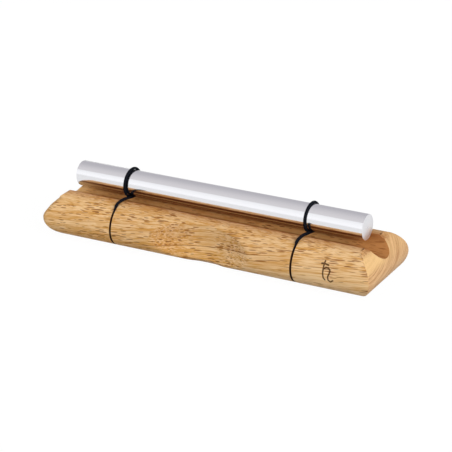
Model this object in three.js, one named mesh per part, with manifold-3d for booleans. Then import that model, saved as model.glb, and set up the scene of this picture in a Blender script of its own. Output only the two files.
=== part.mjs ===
// Chime bar: a turned aluminium rod slung in two elastic cords over a grooved hardwood base.
// Millimetres. X runs along the rod, -Y is the player's side and +Z is up.
// The origin lies in the middle of the underside, on the table.

import * as THREE from 'three';
import { mergeVertices } from 'three/addons/utils/BufferGeometryUtils.js';
import Module from 'manifold-3d';

const wasm = await Module();
wasm.setup();

// Base block
const baseLength = 180;
const baseWidth = 45.2;
const baseHeight = 22;
const sideRidgeHeight = 10; // height of the widest line of the long sides
const sideUndercut = 11.5; // how far the lower curve of a long side reaches in under the base
const endRidgeHeight = 10.3; // height of the furthest line of the ends
const endUpperRadius = 10;
const endCornerDrop = 1.6; // from the top of the base to the bevel that follows that curve
const endChamferLength = 3.5; // shallow chamfer from that corner to the top
const endBevelAngle = THREE.MathUtils.degToRad(45);

// Groove that the rod hangs over
const grooveRadius = 8.2;
const grooveDepth = 7;
const grooveLipRadius = 1.5;
const topLandWidth = 1.28; // flat between the lip of the groove and the curved side

// Finger scoops in both long sides, cut by a slightly tilted drum
const scoopRadius = 62.8;
const scoopTopDepth = 7.1; // from the widest line of the side to the rim of the scoop at the top
const scoopLean = THREE.MathUtils.degToRad(6);

// Saw kerfs across the base that hold the cords
const kerfSpacing = 99.2;
const kerfWidth = 1;
const kerfDepth = 2.05;
const kerfRunOutRise = 0.3; // how far over the surface the floor of the kerf runs out
const kerfRunOutAngle = THREE.MathUtils.degToRad(18); // from straight up, on the upper side curve
const kerfFullAngle = THREE.MathUtils.degToRad(50);

// Pockets in the underside that hold the knots
const pocketDiameter = 8.8;
const pocketDepth = 4.4;

// Rod
const rodDiameter = 12.7;
const rodLength = 157.5;
const rodAxisRise = 6.5; // from the top of the base
const rodChamfer = 0.45;
const rodCentreMarkDiameter = 0.9; // left by the lathe centre
const rodCentreMarkDepth = 0.3;

// Elastic cords
const cordDiameter = 1.5;
const cordGap = 0.25; // from the cord to the wood or metal that it lies on
const cordSideGap = 0.2; // from the flattened cord to a wall of its kerf
const cordEndGap = 0.3; // between two lengths of the same cord
const cordLeadAngle = THREE.MathUtils.degToRad(4); // the cord leaves the kerf this much before its end
const firstPassOffset = 1.6; // sideways from the kerf to the cord's first pass under the rod
const secondPassOffset = -0.6;
const spanLength = 1; // of the stretch of a span that lies on the base
const knotCoreRadius = 2.24;
const knotTwistRadius = 1.1;
const knotHeight = 2.25;

// Facets
const arcStep = THREE.MathUtils.degToRad(6.5);
const cordSides = 8;
const cordTurnSteps = 42;
const knotSteps = 48;
const rodSides = 72;
const drumSides = 240;
const cutOverrun = 2;
const mergeTolerance = 1e-4;

const halfTurn = Math.PI;
const quarterTurn = halfTurn / 2;
const fullTurn = halfTurn * 2;

const wood = new THREE.MeshStandardMaterial({ color: 0xd9a86c, roughness: 0.6, metalness: 0 });
const aluminium = new THREE.MeshStandardMaterial({ color: 0xd6d7da, roughness: 0.3, metalness: 1 });
const elastic = new THREE.MeshStandardMaterial({ color: 0x10151b, roughness: 0.8, metalness: 0 });

// Geometry to a solid for cutting, and back.
function solidOf(geometry) {
  geometry.deleteAttribute('normal');
  geometry.deleteAttribute('uv');
  const merged = mergeVertices(geometry, mergeTolerance);
  return new wasm.Manifold(new wasm.Mesh({
    numProp: merged.attributes.position.itemSize,
    vertProperties: merged.attributes.position.array,
    triVerts: Uint32Array.from(merged.index.array),
  }));
}

function geometryOf(solid) {
  const mesh = solid.getMesh();
  const geometry = new THREE.BufferGeometry();
  geometry.setAttribute('position', new THREE.BufferAttribute(mesh.vertProperties, mesh.numProp));
  geometry.setIndex(new THREE.BufferAttribute(mesh.triVerts, 1));
  geometry.computeVertexNormals();
  return geometry;
}

// Points of an arc about (u, v), from an angle to an angle. Angle 0 points along +u.
function arc(u, v, radius, from, to, radiusV = radius) {
  const steps = Math.max(2, Math.ceil(Math.abs(to - from) / arcStep));
  return Array.from({ length: steps + 1 }, (_, step) => {
    const angle = from + (to - from) * step / steps;
    return new THREE.Vector2(u + radius * Math.cos(angle), v + radiusV * Math.sin(angle));
  });
}

// Closes a right-hand half outline with its mirror image.
function mirrored(points) {
  const left = points.filter((point) => point.x > 0).map((point) => new THREE.Vector2(-point.x, point.y));
  return [...points, ...left.reverse()];
}

// Extrudes an outline drawn in (y, z) along X, or one drawn in (x, z) along Y, centred on zero.
const axisX = new THREE.Vector3(1, 0, 0);
const axisY = new THREE.Vector3(0, 1, 0);
const axisZ = new THREE.Vector3(0, 0, 1);

function prismAlongX(outline, length) {
  const geometry = new THREE.ExtrudeGeometry(outline, { depth: length, bevelEnabled: false });
  geometry.translate(0, 0, -length / 2);
  return geometry.applyMatrix4(new THREE.Matrix4().makeBasis(axisY, axisZ, axisX));
}

function prismAlongY(outline, length) {
  const geometry = new THREE.ExtrudeGeometry(outline, { depth: length, bevelEnabled: false });
  geometry.translate(0, 0, -length / 2);
  return geometry.applyMatrix4(new THREE.Matrix4().makeBasis(axisX, axisZ, axisY.clone().negate()));
}

// Groove section: the round bottom, and the lips that round over into the top of the base.
const grooveCentreHeight = baseHeight - grooveDepth + grooveRadius;
const lipCentreHeight = baseHeight - grooveLipRadius;
const lipCentreWidth = Math.sqrt(
  (grooveRadius + grooveLipRadius) ** 2 - (grooveCentreHeight - lipCentreHeight) ** 2,
);
const lipAngle = Math.atan2(grooveCentreHeight - lipCentreHeight, lipCentreWidth);

// The curved long side. Its angle is 0 where it faces down, a quarter turn where it is widest and a
// half turn where it meets the top. An offset moves the point out along the surface's normal.
const sideTopReach = baseWidth / 2 - lipCentreWidth - topLandWidth;
const sideTopRise = baseHeight - sideRidgeHeight;
const sideFootWidth = baseWidth / 2 - sideUndercut;
const sideTopWidth = baseWidth / 2 - sideTopReach;

function sidePoint(angle, offset = 0) {
  const reach = angle < quarterTurn ? sideUndercut : sideTopReach;
  const drop = angle < quarterTurn ? sideRidgeHeight : sideTopRise;
  const surface = new THREE.Vector2(
    baseWidth / 2 - reach + reach * Math.sin(angle),
    sideRidgeHeight - drop * Math.cos(angle),
  );
  return surface.addScaledVector(sideNormal(angle), offset);
}

function sideNormal(angle) {
  const reach = angle < quarterTurn ? sideUndercut : sideTopReach;
  const drop = angle < quarterTurn ? sideRidgeHeight : sideTopRise;
  return new THREE.Vector2(Math.sin(angle) * drop, -Math.cos(angle) * reach).normalize();
}

function sideAngles(from = 0, to = halfTurn) {
  const steps = Math.ceil((to - from) / arcStep);
  return Array.from({ length: steps + 1 }, (_, step) => from + (to - from) * step / steps);
}

// Cross section of the base.
function baseSection() {
  const side = sideAngles().map((angle) => sidePoint(angle));
  const lip = arc(lipCentreWidth, lipCentreHeight, grooveLipRadius, quarterTurn, halfTurn - lipAngle);
  const groove = arc(0, grooveCentreHeight, grooveRadius, -lipAngle, -quarterTurn);
  return new THREE.Shape(mirrored([...side, ...lip, ...groove.slice(1)]));
}

// Side view of the base: each end is round below, then round and bevelled above, with a shallow
// chamfer up to the top.
function baseEndOutline() {
  const cornerHeight = baseHeight - endCornerDrop;
  const lowerCentre = baseLength / 2 - endRidgeHeight;
  const upperCentre = baseLength / 2 - endUpperRadius;
  const lower = arc(lowerCentre, endRidgeHeight, endRidgeHeight, -quarterTurn, 0);
  const upper = arc(upperCentre, endRidgeHeight, endUpperRadius, 0, endBevelAngle);
  const bevelStart = upper.at(-1);
  const bevelRun = (cornerHeight - bevelStart.y) * Math.tan(endBevelAngle);
  const corner = new THREE.Vector2(bevelStart.x - bevelRun, cornerHeight);
  const top = new THREE.Vector2(corner.x - endChamferLength, baseHeight);
  return new THREE.Shape(mirrored([...lower, ...upper.slice(1), corner, top]));
}

// Drum that cuts the scoop of the front (side -1) or of the rear (side 1).
function scoopDrum(side) {
  const height = baseHeight * 2;
  const drum = new THREE.CylinderGeometry(scoopRadius, scoopRadius, height, drumSides);
  drum.rotateX(quarterTurn);
  drum.translate(0, side * scoopRadius, 0);
  drum.rotateX(side * scoopLean);
  drum.translate(0, side * (baseWidth / 2 - scoopTopDepth), baseHeight);
  return solidOf(drum);
}

// Height of the floor of a kerf over the surface of the side, and of the middle of the cord in it.
function kerfFloorOffset(angle) {
  const depthShare = THREE.MathUtils.smoothstep(halfTurn - angle, kerfRunOutAngle, kerfFullAngle);
  return kerfRunOutRise - (kerfDepth + kerfRunOutRise) * depthShare;
}

const cordRide = cordDiameter / 2 + cordGap;

function cordOffset(angle) {
  const start = kerfRunOutAngle + cordLeadAngle;
  const end = kerfFullAngle + cordLeadAngle;
  return cordRide - kerfDepth * THREE.MathUtils.smoothstep(halfTurn - angle, start, end);
}

// Saw kerf: all round the section except for the top, as a thin plate with a hole of the shape that
// the saw leaves standing.
function kerfCutter(x) {
  const standing = mirrored([
    ...sideAngles(0, halfTurn - kerfRunOutAngle).map((angle) => sidePoint(angle, kerfFloorOffset(angle))),
    new THREE.Vector2(sideTopWidth, baseHeight + cutOverrun),
  ]);
  const halfSpan = baseWidth / 2 + cutOverrun;
  const plate = new THREE.Shape([
    new THREE.Vector2(-halfSpan, -cutOverrun),
    new THREE.Vector2(halfSpan, -cutOverrun),
    new THREE.Vector2(halfSpan, baseHeight + cutOverrun * 2),
    new THREE.Vector2(-halfSpan, baseHeight + cutOverrun * 2),
  ]);
  plate.holes.push(new THREE.Path(standing));
  return solidOf(prismAlongX(plate, kerfWidth).translate(x, 0, 0));
}

function pocketCutter(x) {
  const depth = pocketDepth + cutOverrun;
  const drill = new THREE.CylinderGeometry(pocketDiameter / 2, pocketDiameter / 2, depth, rodSides / 2);
  drill.rotateX(quarterTurn);
  drill.translate(x, 0, pocketDepth - depth / 2);
  return solidOf(drill);
}

const kerfPlaces = { left: -kerfSpacing / 2, right: kerfSpacing / 2 };

function baseBlock() {
  let block = solidOf(prismAlongX(baseSection(), baseLength))
    .intersect(solidOf(prismAlongY(baseEndOutline(), baseWidth + cutOverrun)));
  for (const side of [-1, 1]) {
    block = block.subtract(scoopDrum(side));
  }
  for (const x of Object.values(kerfPlaces)) {
    block = block.subtract(kerfCutter(x)).subtract(pocketCutter(x));
  }
  return geometryOf(block);
}

// The rod is one revolved profile: chamfered ends, each with the small hollow of the lathe centre.
function chimeRod() {
  const halfProfile = [
    new THREE.Vector2(rodDiameter / 2, rodLength / 2 - rodChamfer),
    new THREE.Vector2(rodDiameter / 2 - rodChamfer, rodLength / 2),
    new THREE.Vector2(rodCentreMarkDiameter / 2, rodLength / 2),
    new THREE.Vector2(0, rodLength / 2 - rodCentreMarkDepth),
  ];
  const lowerProfile = halfProfile.map((point) => new THREE.Vector2(point.x, -point.y)).reverse();
  const rod = new THREE.LatheGeometry([...lowerProfile, ...halfProfile], rodSides);
  rod.rotateZ(-quarterTurn);
  rod.translate(0, 0, rodAxisHeight);
  return geometryOf(solidOf(rod));
}

// Lofts an oval section along a row of stations. A station has its point, the direction in which
// the section is halfHeight high, and its halfWidth across. A loop joins its last section to its first.
function loftCord(stations, loop = false) {
  const positions = [];
  const indices = [];
  const count = stations.length;
  const at = (number) => stations[loop ? (number + count) % count : Math.min(Math.max(number, 0), count - 1)];
  for (let number = 0; number < count; number += 1) {
    const { point, up, halfWidth, halfHeight } = stations[number];
    const along = at(number + 1).point.clone().sub(at(number - 1).point).normalize();
    const across = up.clone().cross(along).normalize();
    const high = along.clone().cross(across);
    for (let corner = 0; corner < cordSides; corner += 1) {
      const angle = fullTurn * corner / cordSides;
      const vertex = point.clone()
        .addScaledVector(across, halfWidth * Math.cos(angle))
        .addScaledVector(high, halfHeight * Math.sin(angle));
      positions.push(vertex.x, vertex.y, vertex.z);
    }
  }
  const rings = loop ? count : count - 1;
  for (let ring = 0; ring < rings; ring += 1) {
    const next = (ring + 1) % count;
    for (let corner = 0; corner < cordSides; corner += 1) {
      const a = ring * cordSides + corner;
      const b = ring * cordSides + (corner + 1) % cordSides;
      const c = next * cordSides + (corner + 1) % cordSides;
      const d = next * cordSides + corner;
      indices.push(a, b, c, a, c, d);
    }
  }
  if (!loop) {
    const last = (count - 1) * cordSides;
    for (let corner = 1; corner < cordSides - 1; corner += 1) {
      indices.push(0, corner + 1, corner, last, last + corner, last + corner + 1);
    }
  }
  const geometry = new THREE.BufferGeometry();
  geometry.setAttribute('position', new THREE.Float32BufferAttribute(positions, 3));
  geometry.setIndex(indices);
  geometry.computeVertexNormals();
  return geometry;
}

// A strand crosses the groove as the straight line that touches both the cord's path over the lip
// of the groove and its path round the underside of the rod.
const rodAxisHeight = baseHeight + rodAxisRise;
const lipPathRadius = grooveLipRadius + cordRide;
const turnPathRadius = rodDiameter / 2 + cordRide;
const lipToAxisHeight = rodAxisHeight - lipCentreHeight;
const strandSlope = Math.asin(
  (lipPathRadius + turnPathRadius) / Math.hypot(lipCentreWidth, lipToAxisHeight),
) - Math.atan2(lipToAxisHeight, lipCentreWidth);
const strandEndWidth = turnPathRadius * Math.sin(strandSlope);
const strandEndHeight = rodAxisHeight - turnPathRadius * Math.cos(strandSlope);
const runEndWidth = lipCentreWidth + spanLength;
const kerfEndWidth = sidePoint(halfTurn - kerfRunOutAngle).x;

// A point of a cord on the front (side -1) or the rear (side 1), width out from the rod's axis.
// It drifts sideways from its kerf to where it passes under the rod.
function strandPoint(x, side, passOffset, width, height) {
  const driftShare = THREE.MathUtils.clamp((kerfEndWidth - width) / (kerfEndWidth - strandEndWidth), 0, 1);
  return new THREE.Vector3(x + passOffset * driftShare, side * width, height);
}

function roundStation(point, up) {
  return { point, up, halfWidth: cordDiameter / 2, halfHeight: cordDiameter / 2 };
}

// In the kerf the cord is squeezed flat, and it swells to its full width as it rises out.
function squeezedHalfWidth(offset) {
  const flat = kerfWidth / 2 - cordSideGap;
  if (offset <= 0) {
    return flat;
  }
  const sunkShare = 1 - Math.min(offset / (cordDiameter / 2), 1) ** 2;
  return sunkShare > 0 ? Math.min(cordDiameter / 2, flat / Math.sqrt(sunkShare)) : cordDiameter / 2;
}

// Stretch of a cord that stays on the base: from its knot along the underside, round the side in
// the kerf and up onto the top.
function cordRun(x, side, passOffset) {
  const stations = [];
  const start = pocketDiameter / 2;
  const bottomOffset = cordOffset(0);
  for (const width of [start, (start + sideFootWidth) / 2]) {
    stations.push({
      point: new THREE.Vector3(x, side * width, -bottomOffset),
      up: axisZ.clone().negate(),
      halfWidth: squeezedHalfWidth(bottomOffset),
      halfHeight: cordDiameter / 2,
    });
  }
  for (const angle of sideAngles()) {
    const offset = cordOffset(angle);
    const place = sidePoint(angle, offset);
    const normal = sideNormal(angle);
    const drift = angle > quarterTurn ? passOffset : 0;
    stations.push({
      point: strandPoint(x, side, drift, place.x, place.y),
      up: new THREE.Vector3(0, side * normal.x, normal.y),
      halfWidth: squeezedHalfWidth(offset),
      halfHeight: cordDiameter / 2,
    });
  }
  const end = strandPoint(x, side, passOffset, runEndWidth + cordEndGap / 2, baseHeight + cordRide);
  stations.push(roundStation(end, axisZ));
  return loftCord(stations);
}

// Stretch of a cord from the top of the base over the lip and down to the underside of the rod.
function cordSpan(x, side, passOffset) {
  const start = strandPoint(x, side, passOffset, runEndWidth - cordEndGap / 2, baseHeight + cordRide);
  const stations = [roundStation(start, axisZ)];
  for (const turned of [0, strandSlope / 2, strandSlope]) {
    const width = lipCentreWidth - lipPathRadius * Math.sin(turned);
    const height = lipCentreHeight + lipPathRadius * Math.cos(turned);
    stations.push(roundStation(strandPoint(x, side, passOffset, width, height), axisZ));
  }
  const endWidth = strandEndWidth + cordEndGap / 2 * Math.cos(strandSlope);
  const endHeight = strandEndHeight + cordEndGap / 2 * Math.sin(strandSlope);
  const endPoint = strandPoint(x, side, passOffset, endWidth, endHeight);
  const middle = stations.at(-1).point.clone().lerp(endPoint, 0.5);
  stations.push(roundStation(middle, axisZ), roundStation(endPoint, axisZ));
  return loftCord(stations);
}

// The turn round the rod: in under the rod from the front, up behind it, over, down in front and out
// to the rear, with the second pass beside the first.
function cordTurn(x, side) {
  const trim = cordEndGap / 2 / turnPathRadius;
  const from = trim - strandSlope;
  const to = fullTurn + strandSlope - trim;
  const stations = Array.from({ length: cordTurnSteps + 1 }, (_, step) => {
    const share = step / cordTurnSteps;
    const angle = from + (to - from) * share;
    const out = new THREE.Vector3(0, Math.sin(angle), -Math.cos(angle));
    const point = out.clone().multiplyScalar(turnPathRadius);
    point.x = x + firstPassOffset + (secondPassOffset - firstPassOffset) * share;
    point.z += rodAxisHeight;
    return roundStation(point, out);
  });
  reportGap(`${side} cord turn`, stations);
  return loftCord(stations);
}

// The knot: a cord twisted three times round a ring, twice about.
function cordKnot(x, side) {
  const stations = Array.from({ length: knotSteps }, (_, step) => {
    const round = fullTurn * 2 * step / knotSteps;
    const twist = fullTurn * 3 * step / knotSteps;
    const outward = new THREE.Vector3(Math.cos(round), Math.sin(round), 0);
    const up = outward.clone().multiplyScalar(Math.cos(twist)).addScaledVector(axisZ, Math.sin(twist));
    const point = outward.multiplyScalar(knotCoreRadius).addScaledVector(up, knotTwistRadius);
    point.x += x;
    point.z += knotHeight;
    return roundStation(point, up);
  });
  reportGap(`${side} cord knot`, stations, true);
  return loftCord(stations, true);
}

// Prints the least gap between two stretches of one cord that aren't next to each other.
function reportGap(label, stations, loop = false) {
  const apart = cordDiameter * 2;
  const count = stations.length;
  const stepLength = stations[0].point.distanceTo(stations[1].point);
  let least = Infinity;
  for (let first = 0; first < count; first += 1) {
    for (let second = first + 1; second < count; second += 1) {
      const between = loop ? Math.min(second - first, count - second + first) : second - first;
      if (between * stepLength > apart) {
        least = Math.min(least, stations[first].point.distanceTo(stations[second].point));
      }
    }
  }
  console.log(`${label}: least gap to itself ${(least - cordDiameter).toFixed(2)} mm`);
}

function part(name, geometry, material) {
  const mesh = new THREE.Mesh(geometry, material);
  mesh.name = name;
  return mesh;
}

const chimeBar = new THREE.Group();
chimeBar.name = 'chime_bar';
chimeBar.add(part('base_block', baseBlock(), wood));
chimeBar.add(part('chime_rod', chimeRod(), aluminium));

for (const [side, x] of Object.entries(kerfPlaces)) {
  const cord = new THREE.Group();
  cord.name = `${side}_cord`;
  cord.add(part(`${side}_cord_knot`, cordKnot(x, side), elastic));
  cord.add(part(`${side}_cord_front_run`, cordRun(x, -1, firstPassOffset), elastic));
  cord.add(part(`${side}_cord_front_span`, cordSpan(x, -1, firstPassOffset), elastic));
  cord.add(part(`${side}_cord_turn`, cordTurn(x, side), elastic));
  cord.add(part(`${side}_cord_rear_span`, cordSpan(x, 1, secondPassOffset), elastic));
  cord.add(part(`${side}_cord_rear_run`, cordRun(x, 1, secondPassOffset), elastic));
  chimeBar.add(cord);
}

export default chimeBar;
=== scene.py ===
"""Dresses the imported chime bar: a hardwood base, a turned aluminium rod and the two cords that sling it.

Lengths are in metres and angles in radians. X runs along the rod, -Y is the player's side and +Z is up. The
origin lies in the middle of the underside of the base, on the table.
"""

import logging
import math
from collections.abc import Callable, Iterator, Mapping, Sequence
from contextlib import contextmanager
from dataclasses import dataclass
from enum import Enum
from itertools import accumulate
from typing import Any

import bmesh
import bpy
from mathutils import Matrix, Vector


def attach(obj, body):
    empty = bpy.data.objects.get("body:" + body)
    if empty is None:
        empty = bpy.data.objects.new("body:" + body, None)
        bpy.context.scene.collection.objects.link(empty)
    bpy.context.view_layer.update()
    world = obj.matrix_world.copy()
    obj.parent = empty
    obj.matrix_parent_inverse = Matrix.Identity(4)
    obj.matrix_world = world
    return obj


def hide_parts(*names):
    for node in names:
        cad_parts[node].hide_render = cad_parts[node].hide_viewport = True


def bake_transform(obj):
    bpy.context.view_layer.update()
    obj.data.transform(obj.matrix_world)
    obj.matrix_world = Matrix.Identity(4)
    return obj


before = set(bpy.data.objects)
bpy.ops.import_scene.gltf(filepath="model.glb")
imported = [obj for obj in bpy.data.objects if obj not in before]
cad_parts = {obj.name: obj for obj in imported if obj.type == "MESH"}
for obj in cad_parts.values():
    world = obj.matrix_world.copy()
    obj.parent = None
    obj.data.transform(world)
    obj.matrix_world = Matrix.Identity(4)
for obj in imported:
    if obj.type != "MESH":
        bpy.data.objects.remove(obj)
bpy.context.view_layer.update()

log = logging.getLogger("chime_bar")

MM = 0.001
# Two places that are less than this apart count as one
SAME = 1e-6

Colour = tuple[float, float, float, float]
Point = tuple[float, float]
Span = tuple[float, float]
Outline = list[Point]


def shade(red: int, green: int, blue: int) -> Colour:
    """Turns a display colour into a linear one.

    Args:
        red: Red, from 0 to 255.
        green: Green.
        blue: Blue.

    Returns:
        The opaque colour in linear light.
    """
    def linear(level: int) -> float:
        """Returns one channel in linear light, by the standard curve of displays."""
        share = level / 255
        return share / 12.92 if share <= 0.04045 else ((share + 0.055) / 1.055) ** 2.4
    return (linear(red), linear(green), linear(blue), 1.0)


def smooth_step(value: float, low: float, high: float) -> float:
    """Returns 0 below low, 1 above high and a smooth rise between them."""
    share = min(max((value - low) / (high - low), 0.0), 1.0)
    return share * share * (3 - 2 * share)


# Shader arithmetic

class Wire:
    """An output of a shader node that takes part in arithmetic on values."""

    def __init__(self, graph: "Graph", socket: bpy.types.NodeSocket) -> None:
        """Keeps the socket and the graph that it belongs to."""
        self.graph = graph
        self.socket = socket

    def __add__(self, other: "Wire | float") -> "Wire":
        """Returns the sum."""
        return self.graph.math("ADD", self, other)

    __radd__ = __add__

    def __sub__(self, other: "Wire | float") -> "Wire":
        """Returns the difference."""
        return self.graph.math("SUBTRACT", self, other)

    def __rsub__(self, other: "Wire | float") -> "Wire":
        """Returns the difference from a number."""
        return self.graph.math("SUBTRACT", other, self)

    def __mul__(self, other: "Wire | float") -> "Wire":
        """Returns the product."""
        return self.graph.math("MULTIPLY", self, other)

    __rmul__ = __mul__

    def __truediv__(self, other: "Wire | float") -> "Wire":
        """Returns the quotient."""
        return self.graph.math("DIVIDE", self, other)

    def __neg__(self) -> "Wire":
        """Returns the value with its sign turned."""
        return self * -1.0

    def __abs__(self) -> "Wire":
        """Returns the value without its sign."""
        return self.graph.math("ABSOLUTE", self)

    def fraction(self) -> "Wire":
        """Returns what is left over the whole number below."""
        return self.graph.math("FRACT", self)

    def sine(self) -> "Wire":
        """Returns the sine of an angle in radians."""
        return self.graph.math("SINE", self)

    def root(self) -> "Wire":
        """Returns the square root."""
        return self.graph.math("SQRT", self)

    def least(self, other: "Wire | float") -> "Wire":
        """Returns the smaller of two values."""
        return self.graph.math("MINIMUM", self, other)

    def most(self, other: "Wire | float") -> "Wire":
        """Returns the larger of two values."""
        return self.graph.math("MAXIMUM", self, other)

    def kept_between(self, low: float, high: float) -> "Wire":
        """Returns the value, held between two numbers."""
        return self.most(low).least(high)

    def rise(self, low: float, high: float, first: float = 0.0, last: float = 1.0) -> "Wire":
        """Changes smoothly between two levels. Low may be the larger number.

        Args:
            low: Value at which the change starts.
            high: Value at which it ends.
            first: Result at low and beyond it.
            last: Result at high and beyond it.

        Returns:
            The wire of the result.
        """
        return self.graph.wire(
            "ShaderNodeMapRange",
            settings={"interpolation_type": "SMOOTHSTEP"},
            values={"Value": self, "From Min": low, "From Max": high, "To Min": first, "To Max": last},
        )


class Graph:
    """The node tree of a material or of the world."""

    def __init__(self, tree: bpy.types.NodeTree) -> None:
        """Empties the tree."""
        self.tree = tree
        tree.nodes.clear()

    def node(
        self,
        kind: str,
        settings: Mapping[str, Any] | None = None,
        values: Mapping[str | int, Any] | None = None,
    ) -> bpy.types.Node:
        """Adds a node.

        Args:
            kind: Blender's name of the node's type.
            settings: Properties of the node, set before its sockets.
            values: A number, colour, vector or wire for each socket that is given.

        Returns:
            The new node.
        """
        made = self.tree.nodes.new(kind)
        for name, value in (settings or {}).items():
            setattr(made, name, value)
        for name, value in (values or {}).items():
            if isinstance(value, Wire):
                self.tree.links.new(value.socket, made.inputs[name])
            else:
                made.inputs[name].default_value = value
        return made

    def wire(
        self,
        kind: str,
        settings: Mapping[str, Any] | None = None,
        values: Mapping[str | int, Any] | None = None,
        output: str | int = 0,
    ) -> Wire:
        """Adds a node as `node` does and returns the wire of one of its outputs."""
        return Wire(self, self.node(kind, settings, values).outputs[output])

    def math(self, operation: str, *terms: Wire | float) -> Wire:
        """Returns the result of a Math node on one, two or three terms."""
        return self.wire("ShaderNodeMath", {"operation": operation}, dict(enumerate(terms)))

    def mix(
        self, share: Wire | float, first: Wire | Colour, second: Wire | Colour, mode: str = "MIX",
    ) -> Wire:
        """Mixes two colours, through the sockets that the node keeps for colours.

        Args:
            share: 0 gives the first colour and 1 the second, laid over it in the given mode.
            first: The colour that is changed.
            second: The colour that is brought in.
            mode: Blender's name of the way of blending.

        Returns:
            The wire of the mixed colour.
        """
        settings = {"data_type": "RGBA", "blend_type": mode, "clamp_factor": True}
        return self.wire("ShaderNodeMix", settings, {0: share, 6: first, 7: second}, output=2)

    def blend(self, share: Wire | float, first: Wire, second: Wire) -> Wire:
        """Returns a mix of two shaders, all of the second where the share is 1."""
        return self.wire("ShaderNodeMixShader", values={0: share, 1: first, 2: second})

    def vector(self, x: Wire | float, y: Wire | float, z: Wire | float) -> Wire:
        """Returns a vector of three values."""
        return self.wire("ShaderNodeCombineXYZ", values={0: x, 1: y, 2: z})

    def split(self, vector: Wire) -> tuple[Wire, Wire, Wire]:
        """Returns the three values of a vector."""
        x, y, z = self.node("ShaderNodeSeparateXYZ", values={0: vector}).outputs
        return Wire(self, x), Wire(self, y), Wire(self, z)

    def noise(self, place: Wire, detail: float, roughness: float) -> Wire:
        """Returns soft noise between 0 and 1 whose grains are about one unit across."""
        values = {"Vector": place, "Scale": 1.0, "Detail": detail, "Roughness": roughness}
        return self.wire("ShaderNodeTexNoise", {"noise_dimensions": "3D"}, values)

    def millimetres(self) -> tuple[Wire, Wire, Wire]:
        """Returns the object coordinates in millimetres."""
        values = {0: self.wire("ShaderNodeTexCoord", output="Object"), "Scale": 1 / MM}
        return self.split(self.wire("ShaderNodeVectorMath", {"operation": "SCALE"}, values))

    def rays(self) -> tuple[Wire, Wire]:
        """Returns the masks of what the camera sees and of what polished metal mirrors."""
        path = self.node("ShaderNodeLightPath").outputs
        return Wire(self, path["Is Camera Ray"]), Wire(self, path["Is Glossy Ray"])

    def bump(self, height: Wire, distance: float) -> Wire:
        """Returns the normal of a surface raised by height times distance, in metres."""
        return self.wire("ShaderNodeBump", values={"Height": height, "Distance": distance, "Strength": 1.0})

    def finish_with(self, values: Mapping[str, Any]) -> None:
        """Ends the tree in a Principled BSDF with the given sockets."""
        shader = self.wire("ShaderNodeBsdfPrincipled", values=values)
        self.node("ShaderNodeOutputMaterial", values={"Surface": shader})


def new_material(name: str) -> tuple[bpy.types.Material, Graph]:
    """Adds a material with no nodes.

    Args:
        name: The material's name.

    Returns:
        The material and its graph.
    """
    material = bpy.data.materials.new(name)
    material.use_nodes = True
    return material, Graph(material.node_tree)


# Modelling steps

def deselect_all() -> None:
    """Leaves object mode with nothing selected."""
    if bpy.context.object and bpy.context.object.mode != "OBJECT":
        bpy.ops.object.mode_set(mode="OBJECT")
    bpy.ops.object.select_all(action="DESELECT")


def named(name: str) -> bpy.types.Object:
    """Names the object that was just added, and its mesh.

    Args:
        name: The piece's own name.

    Returns:
        The active object.
    """
    piece = bpy.context.object
    piece.name = name
    piece.data.name = name
    return piece


def take_up(piece: bpy.types.Object) -> None:
    """Makes a piece the active object and the only one selected.

    Args:
        piece: The piece to work on.
    """
    deselect_all()
    piece.select_set(True)
    bpy.context.view_layer.objects.active = piece


@contextmanager
def editing(piece: bpy.types.Object, mode: str = "VERT") -> Iterator[None]:
    """Works on one piece in edit mode.

    Args:
        piece: The mesh to edit.
        mode: What is selected: VERT, EDGE or FACE.

    Yields:
        Nothing, while the piece is being edited.
    """
    take_up(piece)
    bpy.ops.object.mode_set(mode="EDIT")
    bpy.ops.mesh.select_mode(type=mode)
    yield
    bpy.ops.object.mode_set(mode="OBJECT")
    piece.select_set(False)


def select_edges(piece: bpy.types.Object, wanted: Callable[[Vector, Vector], bool]) -> None:
    """Selects edges in edit mode.

    Args:
        piece: The mesh that is being edited.
        wanted: Tells from the two ends of an edge whether it is selected.
    """
    mesh = bmesh.from_edit_mesh(piece.data)
    bpy.ops.mesh.select_all(action="DESELECT")
    for edge in mesh.edges:
        if wanted(edge.verts[0].co, edge.verts[1].co):
            edge.select_set(True)
    bmesh.update_edit_mesh(piece.data)


def select_faces(piece: bpy.types.Object, wanted: Callable[[Vector], bool]) -> None:
    """Selects faces in edit mode.

    Args:
        piece: The mesh that is being edited.
        wanted: Tells from a face's normal whether it is selected.
    """
    mesh = bmesh.from_edit_mesh(piece.data)
    bpy.ops.mesh.select_all(action="DESELECT")
    for face in mesh.faces:
        if wanted(face.normal):
            face.select_set(True)
    bmesh.update_edit_mesh(piece.data)


def weld(distance: float) -> None:
    """Joins the vertices of the edited mesh that lie closer than a distance."""
    bpy.ops.mesh.select_all(action="SELECT")
    bpy.ops.mesh.remove_doubles(threshold=distance)


def turn_outward() -> None:
    """Turns all faces of the edited mesh outward."""
    bpy.ops.mesh.select_all(action="SELECT")
    bpy.ops.mesh.normals_make_consistent(inside=False)


def settle(piece: bpy.types.Object) -> None:
    """Moves a piece's place, turn and scale into its mesh."""
    take_up(piece)
    bpy.ops.object.transform_apply(location=True, rotation=True, scale=True)


def smooth(piece: bpy.types.Object, angle: float) -> None:
    """Shades a piece smooth, with its edges sharp where faces meet at more than the angle."""
    take_up(piece)
    bpy.ops.object.shade_smooth_by_angle(angle=angle)


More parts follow.
